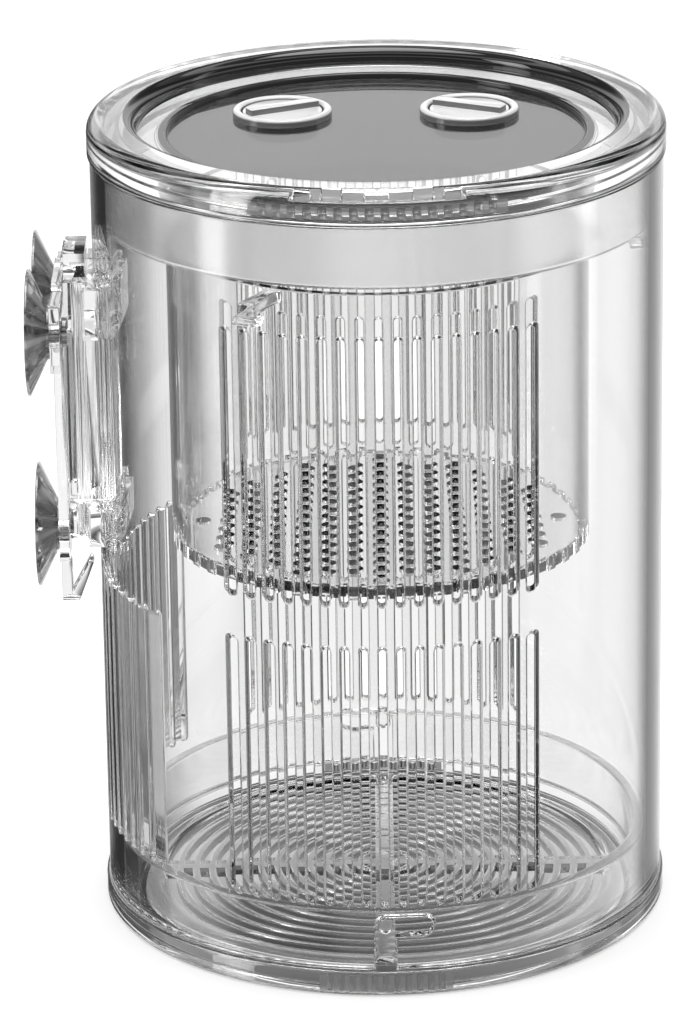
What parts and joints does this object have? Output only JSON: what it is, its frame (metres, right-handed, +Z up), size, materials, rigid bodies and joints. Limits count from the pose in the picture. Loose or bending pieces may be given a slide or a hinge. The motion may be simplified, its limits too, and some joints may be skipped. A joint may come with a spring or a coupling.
{
  "type": "fish breeding box",
  "caption": "Clear cylindrical fish breeding box: slotted tube, lift-off lid with feeding ports, hanging basket with perforated floor, twist-on grille foot and suction cup bracket.",
  "frame": {"origin": "centre of the foot's underside, on the axis of the tube", "axes": "+Z up along the tube's axis, -Y towards the finger notch at the front, -X towards the suction cup bracket"},
  "size_m": [0.1227, 0.1112, 0.16],
  "materials": {
    "clear_plastic": "glossy, transparent",
    "frosted_plastic": "satin, translucent",
    "cup_rubber": "glossy, tinted, soft"
  },
  "bodies": {
    "tube_body": {"tube": "clear_plastic", "basket_ledges": "clear_plastic", "upper_loop": "clear_plastic", "lower_loop": "clear_plastic"},
    "lid": {"lid_rim": "clear_plastic", "lid_panel": "frosted_plastic", "left_port_collar": "clear_plastic", "right_port_collar": "clear_plastic"},
    "left_plug": {"left_port_plug": "clear_plastic"},
    "right_plug": {"right_port_plug": "clear_plastic"},
    "basket": {"basket_wall": "clear_plastic", "basket_floor": "clear_plastic", "basket_lugs": "clear_plastic"},
    "foot": {"foot_ring": "clear_plastic", "foot_grille": "clear_plastic"},
    "bracket": {"cup_plate": "clear_plastic", "slide_bar": "clear_plastic", "thumb_tab": "clear_plastic", "snap_tongue": "clear_plastic"},
    "front_cup": {"upper_front_cup": "cup_rubber"},
    "rear_cup": {"upper_rear_cup": "cup_rubber"},
    "low_cup": {"lower_cup": "cup_rubber"}
  },
  "joints": [
    {"name": "lid_lift", "type": "slide", "parent": "tube_body", "child": "lid", "axis": [0, 0, 1], "range_m": [0, 0.12]},
    {"name": "left_plug_lift", "type": "slide", "parent": "lid", "child": "left_plug", "axis": [0, 0, 1], "range_m": [0, 0.012]},
    {"name": "right_plug_lift", "type": "slide", "parent": "lid", "child": "right_plug", "axis": [0, 0, 1], "range_m": [0, 0.012]},
    {"name": "basket_lift", "type": "slide", "parent": "tube_body", "child": "basket", "axis": [0, 0, 1], "range_m": [0, 0.102]},
    {"name": "foot_twist", "type": "hinge", "parent": "tube_body", "child": "foot", "pos_m": [0, 0, 0], "axis": [0, 0, 1], "range_deg": [0, 7.5]},
    {"name": "bracket_slide", "type": "slide", "parent": "tube_body", "child": "bracket", "axis": [0, 0, 1], "range_m": [0, 0.07]},
    {"name": "front_cup_spin", "type": "hinge", "parent": "bracket", "child": "front_cup", "pos_m": [-0.0671, -0.013, 0.1205], "axis": [1, 0, 0], "continuous": true},
    {"name": "rear_cup_spin", "type": "hinge", "parent": "bracket", "child": "rear_cup", "pos_m": [-0.0671, 0.013, 0.1205], "axis": [1, 0, 0], "continuous": true},
    {"name": "low_cup_spin", "type": "hinge", "parent": "bracket", "child": "low_cup", "pos_m": [-0.0671, 0, 0.077], "axis": [1, 0, 0], "continuous": true}
  ],
  "couplings": [
    {"joint": "basket_lift", "follows": "lid_lift", "ratio": 0.85}
  ]
}
